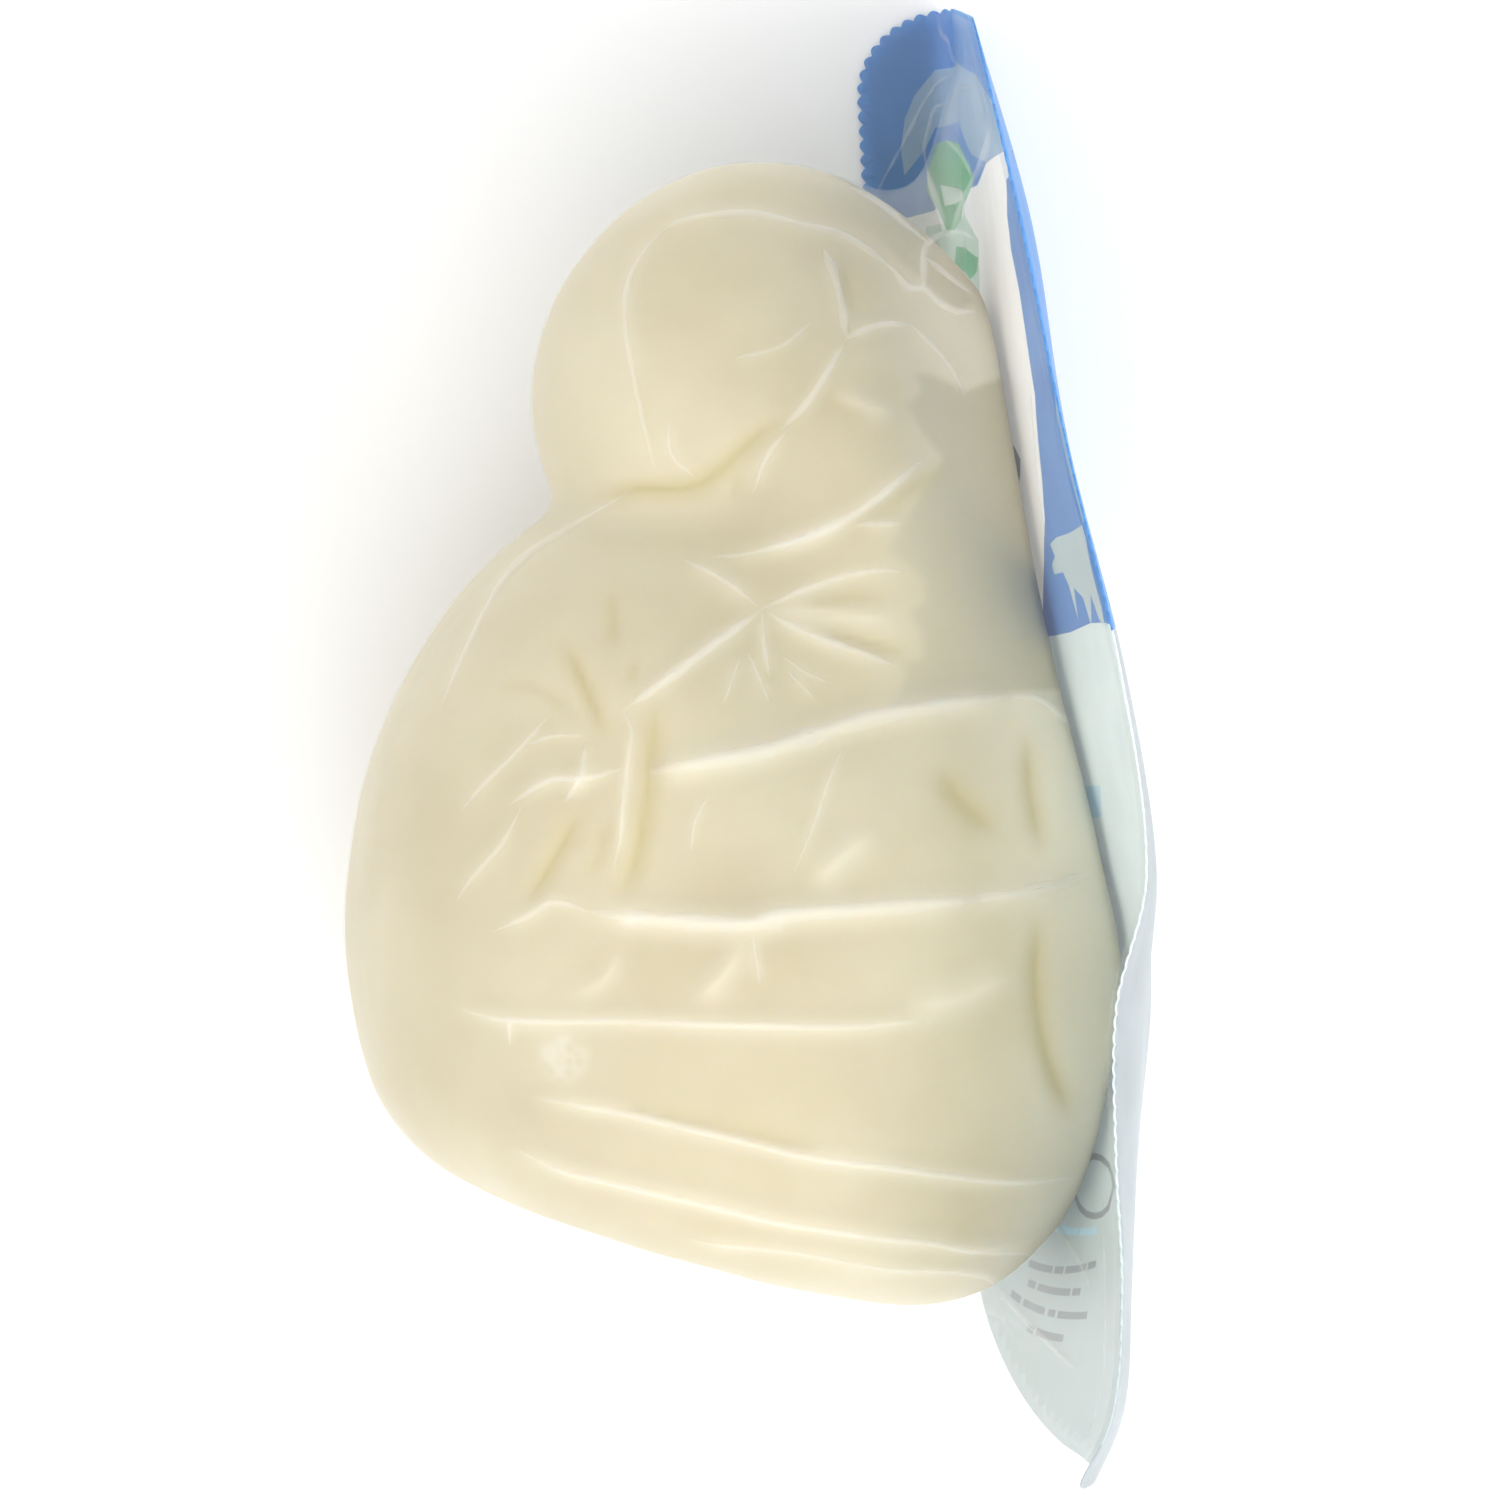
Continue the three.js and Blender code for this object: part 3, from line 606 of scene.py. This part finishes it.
# The flat film's outline, with teeth on all its edges but the bottom end
def cutOutline():
    along = sheetLength * (1 - np.cos(np.linspace(0, pi, 900))) / 2
    far = np.stack([along, cornerCut(along, "Far")], 1)
    near = np.stack([along, sheetWidth - cornerCut(along, "Near")], 1)[::-1]
    loop = np.concatenate([far, [[sheetLength, sheetWidth / 2]], near, [[0, sheetWidth / 2]]])
    steps = np.linalg.norm(sheetPoint(np.roll(loop, -1, axis=0)) - sheetPoint(loop), axis=1)
    done = np.concatenate([[0], np.cumsum(steps)])
    count = int(done[-1] / sheet["toothPitch"]) * 6
    at = np.linspace(0, done[-1], count, endpoint=False)
    closed = np.concatenate([loop, loop[:1]])
    line = np.stack([np.interp(at, done, closed[:, i]) for i in range(2)], 1)
    ahead = np.roll(line, -1, axis=0) - np.roll(line, 1, axis=0)
    inward = np.stack([-ahead[:, 1], ahead[:, 0]], 1) / np.linalg.norm(ahead, axis=1, keepdims=True)
    wave = 1 - np.abs(np.sin(pi * np.arange(count) / 6))
    toothed = softStep(line[:, 0], 3, 12)
    return line + inward * (wave * toothed * sheet["toothDepth"])[:, None]


def insideOutline(points, outline, holes):
    inside = insideLoop(points, outline)
    for hole in holes:
        inside &= ~insideLoop(points, hole)
    return inside


# Triangles that fill a flat outline evenly, with holes left out and lines kept as edges
def fillFlat(outline, holes, lines, spacing):
    points, edges = [], []
    for loop in (outline, *holes, *lines):
        start = len(points)
        points += [tuple(p) for p in loop]
        edges += [(start + i, start + (i + 1) % len(loop)) for i in range(len(loop))]
    across = np.concatenate([np.arange(0, sheet["farFlange"], spacing),
                             np.linspace(sheet["farFlange"], wallStart, 9),
                             np.arange(wallStart + spacing, sheetWidth, spacing)])
    along = np.arange(0, sheetLength, spacing)
    grid = np.stack(np.meshgrid(along, across), -1).reshape(-1, 2)
    grid[:, 0] += (np.arange(len(grid)) // len(along) % 2) * spacing / 2
    keep = insideOutline(grid, outline, holes)
    rim = np.array(points)
    keep &= np.array([np.abs(rim - g).max(1).min() > spacing * 0.3 for g in grid])
    points += [tuple(p) for p in grid[keep]]
    flat, _, faces, *_ = delaunay_2d_cdt([Vector(p) for p in points], edges, [], 0, 1e-5)
    flat, faces = np.array([tuple(p) for p in flat]), np.array([tuple(f) for f in faces if len(f) == 3])
    middles = flat[faces].mean(1)
    inside = insideOutline(middles, outline, holes)
    return flat, faces[inside], middles[inside]


# The points round the longest open edge of a mesh, in order
def openRim(obj):
    mesh = bmesh.new()
    mesh.from_mesh(obj.data)
    waiting = {edge for edge in mesh.edges if edge.is_boundary}
    loops = []
    while waiting:
        edge = waiting.pop()
        loop = [edge.verts[0], edge.verts[1]]
        while True:
            ahead = [e for e in loop[-1].link_edges if e in waiting]
            if not ahead:
                break
            waiting.discard(ahead[0])
            loop.append(ahead[0].other_vert(loop[-1]))
        loops.append([v.index for v in loop[:-1]])
    mesh.free()
    return max(loops, key=len)


# Where the drawn film lies over points along X and Y
def topOfFilm(flat):
    low, high = np.full(len(flat), 36.0), np.full(len(flat), 90.0)
    for _ in range(18):
        middle = (low + high) / 2
        inside = filmShape(np.column_stack([flat, middle])) < 0
        low, high = np.where(inside, middle, low), np.where(inside, high, middle)
    return np.column_stack([flat, low])


def overCheese(flat, rise):
    base = topOfFilm(flat)
    lift, _ = foldHeights(base, folds["onFilm"])
    return base + slopeOf(filmShape, base) * ((lift + roughness(base)) * backFade(base) + rise)[:, None]


def overSheet(flat, rise):
    return sheetOffset(flat, -(clear["gap"] + rise)[:, None])


# Crisp creases: a strip's places across, its rise at each and how white it is there, the folded film's
# whiteness together with a painted highlight. On the sealed film they run along the printed film's own
# lines, each with its width and its points on the flat film
creases = {
    "across": (-1, -0.55, 0.15, 0.7, 1),
    "rise": (-0.12, 0.05, 0.11, 0.05, -0.12),
    "white": (0, 0.5, 1, 0.5, 0),
    "spacing": 0.6,
    "widen": 1.7,
    "unevenness": 0.6,
    "wobble": 2.6,  # the length of the unevenness
    "ends": (-0.03, 0.2),  # where a strip narrows away, as shares of its length
    "thinnest": 0.35,  # its width there, and the share of its rise
    "lowest": 0.4,
    "whiteWidth": 0.5,  # strips narrower than this are less white
    "strength": (0.7, 0.6),  # for any fold, and more for each millimetre of its height
    "sheetRise": 0.6,  # the rise on the sealed film, as a share of the rise on the cheese
    "sheetLines": (
        (0.3, (
            (124.8, 60), (123.5, 22.5), (121, 8), (118.4, 6.8), (116.2, 6.3), (112.2, 6.8), (107.9, 7.7))),
        (0.25, ((110.3, 1.1), (113.5, 2.6), (118.2, 5), (121.5, 6.6), (124, 9), (125.5, 25))),
        (0.5, ((130.7, 8.5), (128.4, 9.1), (126.5, 15.6), (126.2, 26))),
        (0.4, ((97.2, 73.8), (92.9, 72.4), (89.1, 70.4), (84.7, 69.2), (83.6, 68.8))),
        (0.45, ((15.5, 36), (15.4, 48), (14.8, 56), (13.5, 62))),
        (0.4, ((1.6, 16.6), (4.4, 28.1), (5.9, 44.6), (6.2, 60))),
        (0.35, ((22, 62), (16, 67), (9, 71), (2.5, 73))),
        (0.35, ((40, 82), (30, 80), (21, 79), (12, 80))),
    ),
}


def addStrip(strips, places, width, put, strength, seed):
    c = creases
    path = smoothLine(places, c["spacing"])
    ahead = np.gradient(path, axis=0)
    ahead /= np.linalg.norm(ahead, axis=1, keepdims=True)
    side = np.stack([-ahead[:, 1], ahead[:, 0]], 1)
    done = np.linspace(0, 1, len(path))
    ends = softStep(done, *c["ends"]) * softStep(1 - done, *c["ends"])
    marks = np.column_stack([np.arange(len(path)) * c["spacing"], np.zeros((len(path), 2))])
    wobble = 1 + c["unevenness"] * uneven(marks, c["wobble"], seed)
    narrowing = c["thinnest"] + (1 - c["thinnest"]) * ends
    half = width * c["widen"] / 2 * narrowing * wobble
    raised = strength * (c["lowest"] + (1 - c["lowest"]) * ends)
    start, rows = len(strips["points"]), len(c["across"])
    grid = np.stack([put(path + side * (share * half)[:, None], rise * raised)
                     for share, rise in zip(c["across"], c["rise"])], 1)
    strips["points"] += grid.reshape(-1, 3).tolist()
    # whiteness along a strip: the folded film's own whiteness and a painted highlight
    whiteAndHighlight = ends * min(1, width / c["whiteWidth"]) * (0.8 + 0.5 * (wobble - 1))
    strips["white"] += np.outer(whiteAndHighlight, c["white"]).ravel().tolist()
    for i in range(len(path) - 1):
        for j in range(rows - 1):
            a = start + i * rows + j
            strips["faces"] += [(a, a + rows, a + rows + 1), (a, a + rows + 1, a + 1)]


def creasePiece():
    strips = {"points": [], "faces": [], "white": []}
    least, more = creases["strength"]
    for number, (height, _, width, places) in enumerate(folds["lines"]):
        if width:
            addStrip(strips, places, width, overCheese, least + height * more, number)
    for number, (width, places) in enumerate(creases["sheetLines"], 80):
        addStrip(strips, places, width, overSheet, creases["sheetRise"], number)
    obj = meshPiece("creases", np.array(strips["points"]), np.array(strips["faces"]))
    paintMask(obj, "crest", strips["white"])
    return obj


def clearPiece(outline):
    c = clear
    obj = shapedBall("clear_film", filmShape, c["castFrom"], c["grain"])
    points = pointsOf(obj)
    behind = wallX(points[:, 1], points[:, 2]) - points[:, 0] - c["gap"] < 0.03
    mesh = bmesh.new()
    mesh.from_mesh(obj.data)
    mesh.verts.ensure_lookup_table()
    hidden = [face for face in mesh.faces if all(behind[v.index] for v in face.verts)]
    bmesh.ops.delete(mesh, geom=hidden, context="FACES")
    mesh.to_mesh(obj.data)
    mesh.free()
    rim = openRim(obj)
    points = pointsOf(obj)
    rimPlace = flatPlace(points[rim])
    points[rim] = sheetOffset(rimPlace, -c["gap"])
    lift, _ = foldHeights(points, folds["onFilm"])
    lift = (lift + roughness(points)) * backFade(points)
    setPoints(obj, points + slopeOf(filmShape, points) * lift[:, None])
    flat, faces, _ = fillFlat(outline, [rimPlace], [], sheet["spacing"])
    flange = meshPiece("flange", sheetOffset(flat, -c["gap"]), faces[:, ::-1])
    for part in (obj, flange):
        paintMask(part, "crest", np.zeros(len(part.data.vertices)))
    joinTo(obj, flange)
    bpy.ops.object.mode_set(mode="EDIT")
    bpy.ops.mesh.select_all(action="SELECT")
    bpy.ops.mesh.remove_doubles(threshold=0.02)
    bpy.ops.mesh.normals_make_consistent(inside=False)
    bpy.ops.object.mode_set(mode="OBJECT")
    joinTo(obj, creasePiece())
    return obj


# Printed fields on the flat film, in millimetres along and across it; a later one lies over the rest
prints = (
    {"ink": "blue", "loop": (
        (66, -2), (67.5, 12), (71.4, 30), (73.1, 50), (75.2, 69.8), (76.6, 78.4), (77, 84), (77, 100),
        (140, 100), (140, -2))},
    {"ink": "haze", "loop": (
        (113.3, 4.2), (116, 4), (119.3, 4.5), (122, 5.6), (124.8, 7.7), (125.9, 14.5), (125.8, 60.8),
        (123.8, 76.2), (121.9, 94), (119.6, 94), (117.6, 60), (117.4, 30), (119.6, 11), (118.6, 7.4),
        (116.2, 6.3))},
    {"ink": "white", "loop": (
        (70, 8), (104, 1), (108.2, 3), (109.8, 6.8), (112.5, 9.3), (114.6, 35), (117.4, 52), (119.3, 78),
        (119.6, 92), (116.4, 71.5), (113.1, 67.3), (109.9, 66.7), (106.4, 69.3), (102.8, 70.9),
        (97, 73.2), (92.8, 71.6), (89.1, 70.2), (85.3, 67.7), (81.2, 61.4), (76.9, 54), (74.1, 49.4),
        (72.9, 47), (71.4, 30))},
    {"ink": "haze", "loop": ((99, 88), (94, 92), (87, 91), (86, 87), (90, 86.5), (96, 85))},
    {"ink": "sage", "loop": ((98, 6), (104, 5.4), (108, 6), (110, 12), (109, 30), (103.5, 27), (99, 14))},
    {"ink": "green", "loop": (
        (117, 7.4), (117.4, 8.5), (115.7, 27.9), (115.1, 31.4), (110.8, 11.3), (108, 8.8), (107.9, 7.9),
        (110.3, 7.1), (111.9, 6.2), (114.1, 6.6))},
    {"ink": "sage", "loop": ((110.4, 7.9), (112.6, 7.6), (112.4, 12), (111.5, 11))},
    {"ink": "green", "loop": ((106.3, 8.9), (107.1, 27.6), (105.5, 25), (103.6, 14.9), (103.9, 8.5))},
    {"ink": "mint", "loop": (
        (84, 72.2), (84.7, 78), (85.9, 85.9), (84.6, 86), (82.7, 84.8), (80.8, 84.4), (78.4, 84.6),
        (76.6, 83.6), (77.2, 82), (79.4, 81), (77.5, 79.4), (76.4, 78.4), (78.9, 77.6), (79.6, 75),
        (76.6, 73.9), (79.7, 73.1), (80.8, 71.8), (80.3, 67.1), (81.1, 66.7), (82.1, 69.5), (83.1, 68))},
    {"ink": "dark", "loop": (
        (89.4, 43), (90.6, 47), (91, 51), (90.1, 55.5), (88.3, 52.8), (86.4, 47), (85.8, 43.5),
        (86.8, 42), (88, 48), (89.4, 50.4), (89.8, 48))},
    {"ink": "paleBlue", "loop": ((59.6, 54.4), (61.1, 68.3), (57.9, 65.3), (56.3, 52))},
    {"ink": "grey", "loop": (
        (23.9, 65.2), (21.4, 63.2), (20.2, 59.7), (19.3, 55.5), (18.7, 51), (18.5, 46.7), (18.8, 43.5),
        (19.5, 40.9), (20.6, 40.3), (21.8, 40.9), (23.1, 43.9), (24.3, 48.4), (25.1, 54), (25.3, 59.4),
        (24.8, 63.1))},
    {"ink": "ground", "loop": (
        (23.7, 63.7), (21.7, 61.9), (20.7, 59), (19.9, 55.3), (19.3, 50.9), (19.1, 46.8), (19.3, 44),
        (19.8, 42.2), (20.6, 41.7), (21.6, 42.3), (22.6, 44.8), (23.8, 49), (24.5, 54), (24.7, 59.1),
        (24.4, 62))},
)
# Short bars in rows below the ring: where each row begins and ends, its ink, and how it is split
rows = (
    {"from": (13.6, 34), "to": (18.4, 58), "ink": "paleBlue", "parts": (0, 0.22, 0.25, 0.6, 0.63, 1)},
    {"from": (8.8, 31), "to": (15.6, 60), "ink": "grey",
     "parts": (0, 0.34, 0.37, 0.5, 0.53, 0.84, 0.87, 1)},
    {"from": (6.8, 29.5), "to": (13.4, 61), "ink": "grey", "parts": (0.1, 0.2, 0.23, 0.66, 0.69, 0.8)},
    {"from": (4.6, 27.5), "to": (11.4, 63), "ink": "grey",
     "parts": (0, 0.12, 0.15, 0.4, 0.44, 0.52, 0.55, 0.9)},
    {"from": (2.6, 27), "to": (8.6, 60), "ink": "grey", "parts": (0.3, 0.38, 0.41, 0.74)},
)
rowHeight = 0.7
fieldStep = 1.5  # the spacing of points along a field's edge
lowShadeFade = (-34, -12)  # where the ground is painted darker as shade towards the bottom end, as millimetres from the bottom end, less than 0
# The inks of the outer face, and where they meet
outside = {"blueFrom": 77, "blue": "blue", "ground": "outerGround"}


def rowLoops(row):
    a, b = np.array(row["from"]), np.array(row["to"])
    for start, end in zip(row["parts"][::2], row["parts"][1::2]):
        low, high = a + (b - a) * start, a + (b - a) * end
        yield np.array((low, high, high + (rowHeight, 0), low + (rowHeight, 0)))


def printedPiece(outline, inks):
    loops = [(np.array(field["loop"], float), field["ink"]) for field in prints]
    loops += [(loop, row["ink"]) for row in rows for loop in rowLoops(row)]
    dense = []
    for loop, _ in loops:
        parts = []
        for a, b in zip(loop, np.roll(loop, -1, axis=0)):
            count = max(2, int(np.linalg.norm(b - a) / fieldStep))
            parts.append(a + (b - a) * np.linspace(0, 1, count, endpoint=False)[:, None])
        dense.append(np.concatenate(parts))
    flat, faces, middles = fillFlat(outline, [], dense, sheet["spacing"])
    obj = meshPiece("printed_sheet", sheetOffset(flat, sheet["behind"]), faces)
    # the low mask paints the ground darker towards the bottom end, as painted shade
    paintMask(obj, "low", softStep(-flatPlace(pointsOf(obj))[:, 0], *lowShadeFade))
    names = list(inks)
    for ink in inks.values():
        obj.data.materials.append(ink)
    fieldOf = np.zeros(len(faces), int)
    for loop, ink in loops:
        fieldOf[insideLoop(middles, loop)] = names.index(ink)
    obj.data.polygons.foreach_set("material_index", fieldOf)
    selectOnly(obj)
    wall = obj.modifiers.new("thickness", "SOLIDIFY")
    wall.thickness = sheet["thickness"]
    wall.offset = 1
    bpy.ops.object.modifier_apply(modifier="thickness")
    for face in obj.data.polygons:
        middle = np.array(face.center)
        if middle[0] - wallX(middle[1], middle[2]) > sheet["behind"] + sheet["thickness"] * 0.6:
            name = "blue" if flatPlace(middle)[0] > outside["blueFrom"] else "ground"
            face.material_index = names.index(outside[name])
    return obj


looks = {
    "cheese": {
        "pale": (0.67, 0.61, 0.435), "deep": (0.575, 0.505, 0.325), "cloud": 38,
        # ridge is a painted highlight along the folds' tops, groove a painted shade in their hollows
        "ridgeHighlight": (0.76, 0.71, 0.56), "grooveShade": (0.575, 0.49, 0.235), "grooveShadeShare": 0.9,
        # rim is painted light for the shaded notch by the printed film
        "wet": (0.565, 0.52, 0.36), "rim": (0.84, 0.80, 0.64),
        "bubble": (0.74, 0.70, 0.58), "bubbleSize": 900,
        "speck": (0.22, 0.19, 0.15), "speckSpacing": 150, "speckSize": 0.035, "speckShare": 0.07,
        "roughness": 0.5, "gloss": 0.35, "crinkle": (300, 0.2, 0.0004),
        "milkiness": 0.7, "milkColour": (1, 0.7, 0.4), "milkDepth": 0.0022,
    },
    "film": {
        "colour": (0.93, 0.925, 0.90), "roughness": 0.15, "gloss": 0.4,
        # crest: the folded film's whiteness and a painted highlight along the creases
        "haze": 0.07, "edge": 0.14, "edgeBlend": 0.25, "crest": 0.22, "crinkle": (130, 0.5, 0.001),
    },
    "sheet": {
        "cloud": 120, "change": (0.94, 1.05), "roughness": 0.4, "gloss": 0.3,
        "crinkle": (260, 0.25, 0.0004), "milkiness": 0.9, "milkColour": (1, 1, 1), "milkDepth": 0.0008,
    },
    # painted shade for the ground near the bottom end
    "lowGroundShade": (0.42, 0.485, 0.495),
    "inks": {
        "ground": (0.60, 0.695, 0.71),
        "outerGround": (0.335, 0.37, 0.39),
        "blue": (0.075, 0.225, 0.51),
        "haze": (0.25, 0.37, 0.51),
        "white": (0.89, 0.885, 0.865),
        "sage": (0.50, 0.62, 0.53),
        "green": (0.125, 0.39, 0.215),
        "mint": (0.42, 0.50, 0.53),
        "paleBlue": (0.40, 0.58, 0.68),
        "grey": (0.27, 0.305, 0.33),
        "dark": (0.22, 0.25, 0.28),
    },
}


def newMaterial(name):
    material = bpy.data.materials.new(name)
    material.use_nodes = True
    return material, material.node_tree, material.node_tree.nodes["Principled BSDF"]


# Sets a node's inputs, each to a value or to another node's output, and gives its own outputs
def setInputs(tree, node, given):
    for name, value in given.items():
        if isinstance(value, bpy.types.NodeSocket):
            tree.links.new(value, node.inputs[name])
        else:
            node.inputs[name].default_value = value
    return node.outputs


def addNode(tree, kind, given):
    return setInputs(tree, tree.nodes.new("ShaderNode" + kind), given)


def addGroup(tree, group, given):
    node = tree.nodes.new("ShaderNodeGroup")
    node.node_tree = group
    return setInputs(tree, node, given)


def mixOver(tree, below, above, mask):
    mix = tree.nodes.new("ShaderNodeMix")
    mix.data_type = "RGBA"
    return setInputs(tree, mix, {"A": below, "B": above, "Factor": mask})["Result"]


def reckon(tree, operation, *values, clamp=False):
    node = tree.nodes.new("ShaderNodeMath")
    node.operation, node.use_clamp = operation, clamp
    return setInputs(tree, node, dict(enumerate(values)))["Value"]


def maskOf(tree, name):
    attribute = tree.nodes.new("ShaderNodeAttribute")
    attribute.attribute_name = name
    return attribute.outputs["Fac"]


def newGroup(name, given, made):
    group = bpy.data.node_groups.new(name, "ShaderNodeTree")
    for way, sockets in (("INPUT", given), ("OUTPUT", made)):
        for socket, kind in sockets.items():
            group.interface.new_socket(socket, in_out=way, socket_type="NodeSocket" + kind)
    return group, group.nodes.new("NodeGroupInput").outputs, group.nodes.new("NodeGroupOutput")


# Noise in object space
def noiseOf(tree, scale, detail):
    place = addNode(tree, "TexCoord", {})["Object"]
    return addNode(tree, "TexNoise", {"Vector": place, "Scale": scale, "Detail": detail})["Fac"]


# Cloudy change from one colour to another
def mottleGroup():
    sockets = {"Low": "Color", "High": "Color", "Scale": "Float"}
    group, given, out = newGroup("cloudyColour", sockets, {"Color": "Color"})
    cloud = noiseOf(group, given["Scale"], 4)
    contrast = addNode(group, "MapRange", {"Value": cloud, "From Min": 0.35, "From Max": 0.65})
    mixed = mixOver(group, given["Low"], given["High"], contrast["Result"])
    setInputs(group, out, {"Color": mixed})
    return group


# Fine unevenness of a surface
def crinkleGroup():
    sockets = {"Scale": "Float", "Strength": "Float", "Height": "Float"}
    group, given, out = newGroup("fineCrinkle", sockets, {"Normal": "Vector"})
    grain = noiseOf(group, given["Scale"], 3)
    bump = {"Strength": given["Strength"], "Distance": given["Height"], "Height": grain}
    setInputs(group, out, {"Normal": addNode(group, "Bump", bump)["Normal"]})
    return group


def cloudOf(tree, group, low, high, scale):
    return addGroup(tree, group, {"Low": (*low, 1), "High": (*high, 1), "Scale": scale})["Color"]


# A shader's colour, gloss, fine unevenness and, where it has one, its milky depth
def setSurface(tree, shader, look, colour, group):
    crinkle = dict(zip(("Scale", "Strength", "Height"), look["crinkle"]))
    setInputs(tree, shader, {
        "Base Color": colour,
        "Roughness": look["roughness"],
        "Specular IOR Level": look["gloss"],
        "Normal": addGroup(tree, group, crinkle)["Normal"],
    })
    if "milkiness" in look:
        setInputs(tree, shader, {
            "Subsurface Weight": look["milkiness"],
            "Subsurface Radius": look["milkColour"],
            "Subsurface Scale": look["milkDepth"],
        })


def cheeseMaterial(cloudy, crinkle):
    look = looks["cheese"]
    material, tree, shader = newMaterial("ivoryCheese")
    place = addNode(tree, "TexCoord", {})["Object"]
    foam = addNode(tree, "TexVoronoi", {"Vector": place, "Scale": look["bubbleSize"]})
    specks = addNode(tree, "TexVoronoi", {"Vector": place, "Scale": look["speckSpacing"]})
    chance = addNode(tree, "SeparateColor", {"Color": specks["Color"]})["Red"]
    small = reckon(tree, "LESS_THAN", specks["Distance"], look["speckSize"])
    chosen = reckon(tree, "GREATER_THAN", chance, 1 - look["speckShare"])
    tone = maskOf(tree, "tone")
    masks = {
        "wet": maskOf(tree, "wet"),
        # painted light near the printed film
        "rim": maskOf(tree, "rim"),
        # painted highlight on the ridges and painted shade in the grooves, from the fold tone
        "ridgeHighlight": reckon(tree, "MULTIPLY", tone, 1, clamp=True),
        "grooveShade": reckon(tree, "MULTIPLY", tone, -look["grooveShadeShare"], clamp=True),
        "bubble": reckon(tree, "MULTIPLY", foam["Distance"], maskOf(tree, "bubbles")),
        "speck": reckon(tree, "MULTIPLY", small, chosen),
    }
    colour = cloudOf(tree, cloudy, look["deep"], look["pale"], look["cloud"])
    for name, mask in masks.items():
        colour = mixOver(tree, colour, (*look[name], 1), mask)
    setSurface(tree, shader, look, colour, crinkle)
    return material


def filmMaterial(crinkle):
    look = looks["film"]
    material, tree, shader = newMaterial("clearFilm")
    facing = addNode(tree, "LayerWeight", {"Blend": look["edgeBlend"]})["Facing"]
    edge = reckon(tree, "MULTIPLY_ADD", facing, look["edge"], look["haze"])
    # the crest mask whitens the film along the creases: the folded film's whiteness and a painted
    # highlight
    whole = reckon(tree, "MULTIPLY_ADD", maskOf(tree, "crest"), look["crest"], edge, clamp=True)
    setInputs(tree, shader, {"Alpha": whole})
    setSurface(tree, shader, look, (*look["colour"], 1), crinkle)
    return material


def inkMaterial(name, colour, cloudy, crinkle):
    look = looks["sheet"]
    material, tree, shader = newMaterial("ink" + name[0].upper() + name[1:])
    low, high = ([min(1, v * change) for v in colour] for change in look["change"])
    shade = cloudOf(tree, cloudy, low, high, look["cloud"])
    # painted shade: the ground mixed darker towards the bottom end
    if name == "ground":
        shade = mixOver(tree, shade, (*looks["lowGroundShade"], 1), maskOf(tree, "low"))
    setSurface(tree, shader, look, shade, crinkle)
    return material


# From millimetres about the cheese to metres in the pack's frame
def placePiece(obj, shift, material=None):
    setPoints(obj, (pointsOf(obj) + shift) * mm)
    if material:
        obj.data.materials.clear()
        obj.data.materials.append(material)
    smoothShade(obj)
    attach(obj, "root")


print("cutting the films' outline")
outline = cutOutline()
print("shaping the cheese")
scamorza = cheesePiece()
print("drawing the clear film over it")
clearFilm = clearPiece(outline)
print("cutting and bending the printed film")
mottle = mottleGroup()
crinkle = crinkleGroup()
inks = {name: inkMaterial(name, colour, mottle, crinkle) for name, colour in looks["inks"].items()}
printedFilm = printedPiece(outline, inks)

print("placing the pieces")
cheeseMiddle = np.array((0.727, -3.170, 0))
placePiece(scamorza, cheeseMiddle, cheeseMaterial(mottle, crinkle))
placePiece(clearFilm, cheeseMiddle, filmMaterial(crinkle))
placePiece(printedFilm, cheeseMiddle)
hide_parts("film_wrapped_cheese")
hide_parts("film_wrapped_cheese")
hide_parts("printed_film")

studio = {
    "aim": (0.000727, -0.00317, 0.036),
    "distance": 1.0,
    "tilt": radians(3.4),
    "lens": 255.6,
    "sensor": 36,
    "floorSize": 6,
    "floorColour": (0.95, 0.95, 0.95),
    "sky": 1.0,
    "lamps": (
        {"at": (0.0, -0.45, 1.45), "size": 1, "power": 6.3},
        {"at": (0.45, -1.1, 0.75), "size": 0.8, "power": 3.5},
        {"at": (1.0, -0.3, 0.8), "size": 1, "power": 5},
    ),
}


def buildStudio():
    scene = bpy.context.scene
    scene.view_settings.view_transform = "Standard"
    camera = bpy.data.objects.new("camera", bpy.data.cameras.new("camera"))
    bpy.context.collection.objects.link(camera)
    tilt = studio["tilt"]
    back = Vector((0, sin(tilt), cos(tilt)))
    camera.location = Vector(studio["aim"]) + back * studio["distance"]
    camera.rotation_euler = (-tilt, 0, 0)
    camera.data.lens = studio["lens"]
    camera.data.sensor_width = studio["sensor"]
    camera.data.clip_start, camera.data.clip_end = 0.05, 20
    scene.camera = camera
    selectOnly()
    bpy.ops.mesh.primitive_plane_add(size=studio["floorSize"], location=(0, 0, -0.0002))
    floor = bpy.context.object
    floor.name = "floor"
    material, tree, shader = newMaterial("paleFloor")
    setInputs(tree, shader, {"Base Color": (*studio["floorColour"], 1), "Roughness": 0.9})
    floor.data.materials.append(material)
    world = bpy.data.worlds.new("softRoom")
    world.use_nodes = True
    sky = world.node_tree.nodes["Background"]
    setInputs(world.node_tree, sky, {"Color": (1, 1, 1, 1), "Strength": studio["sky"]})
    scene.world = world
    for given in studio["lamps"]:
        lamp = bpy.data.objects.new("softLamp", bpy.data.lights.new("softLamp", "AREA"))
        lamp.data.size = given["size"]
        lamp.data.energy = given["power"]
        lamp.location = given["at"]
        lamp.rotation_euler = (Vector(studio["aim"]) - lamp.location).to_track_quat("-Z", "Y").to_euler()
        bpy.context.collection.objects.link(lamp)


print("lighting the studio")
buildStudio()
